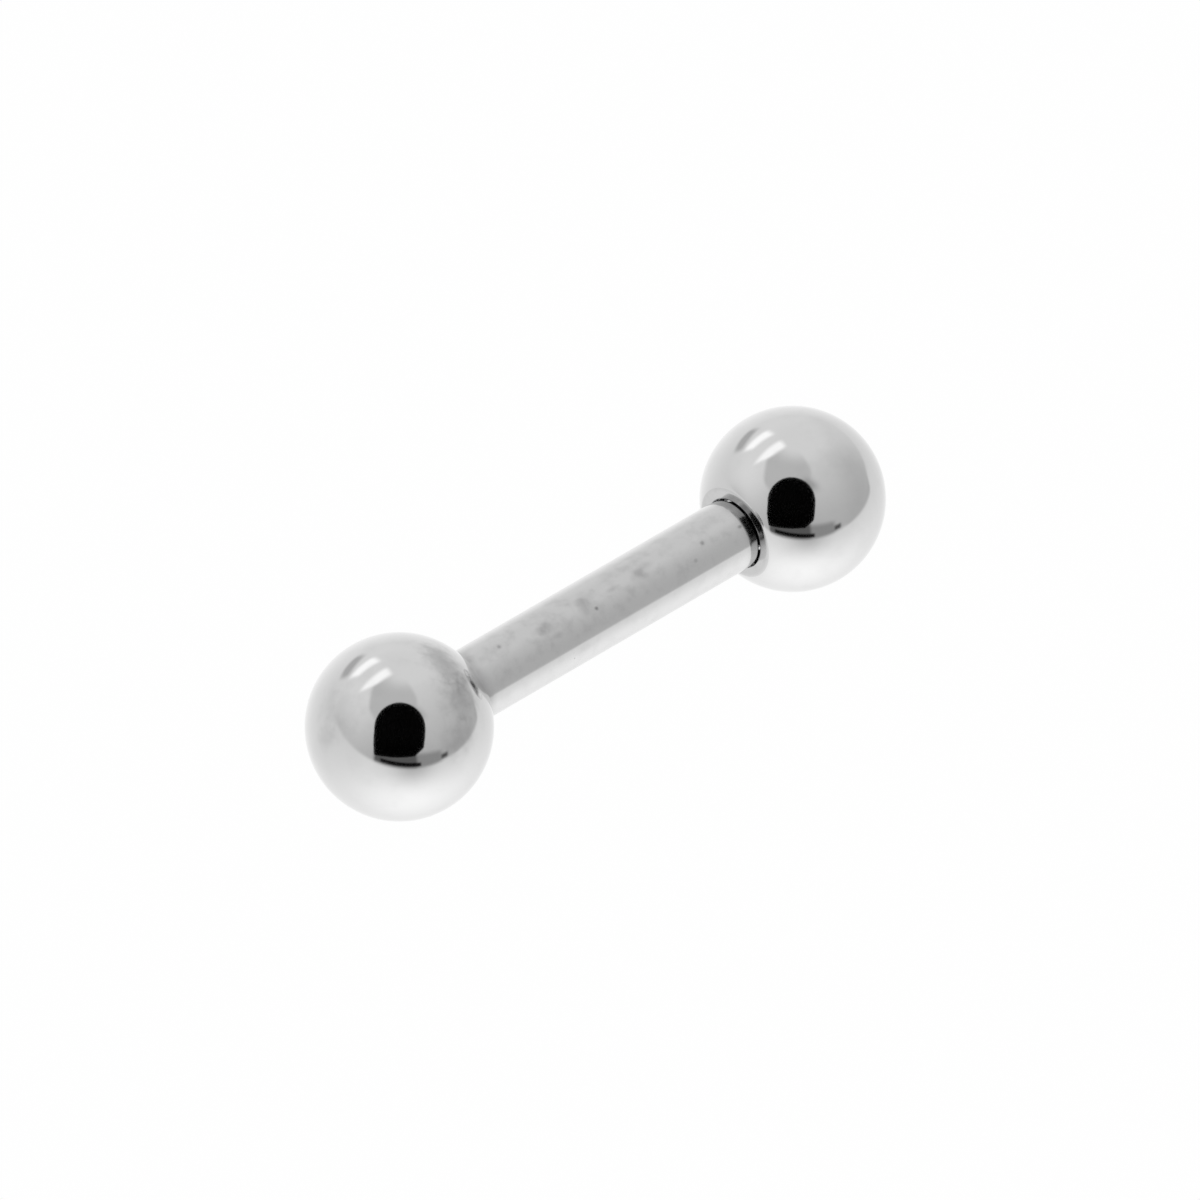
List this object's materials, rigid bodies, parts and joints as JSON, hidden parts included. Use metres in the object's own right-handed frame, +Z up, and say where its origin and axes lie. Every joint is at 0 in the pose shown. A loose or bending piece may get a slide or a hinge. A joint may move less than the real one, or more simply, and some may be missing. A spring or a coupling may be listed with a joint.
{
  "type": "helix barbell",
  "caption": "Straight barbell for a helix piercing: a polished steel bar with a threaded stud at each end and a steel ball screwed onto each stud.",
  "frame": {"origin": "the middle of the bar, on its axis", "axes": "+X along the bar towards the right ball, +Z up from the surface that the two balls rest on"},
  "size_m": [0.0116, 0.003, 0.003],
  "materials": {
    "bar_steel": "surgical steel, polished, with faint lengthwise polishing lines and a thin mottled film from handling",
    "ball_steel": "surgical steel, mirror polished"
  },
  "bodies": {
    "bar": {"bar": "bar_steel"},
    "left_ball": {"left_ball": "ball_steel"},
    "right_ball": {"right_ball": "ball_steel"}
  },
  "joints": [
    {"name": "left_ball_unscrew", "type": "slide", "parent": "bar", "child": "left_ball", "axis": [-1, 0, 0], "range_m": [0, 0.008]},
    {"name": "right_ball_unscrew", "type": "slide", "parent": "bar", "child": "right_ball", "axis": [1, 0, 0], "range_m": [0, 0.008]}
  ]
}
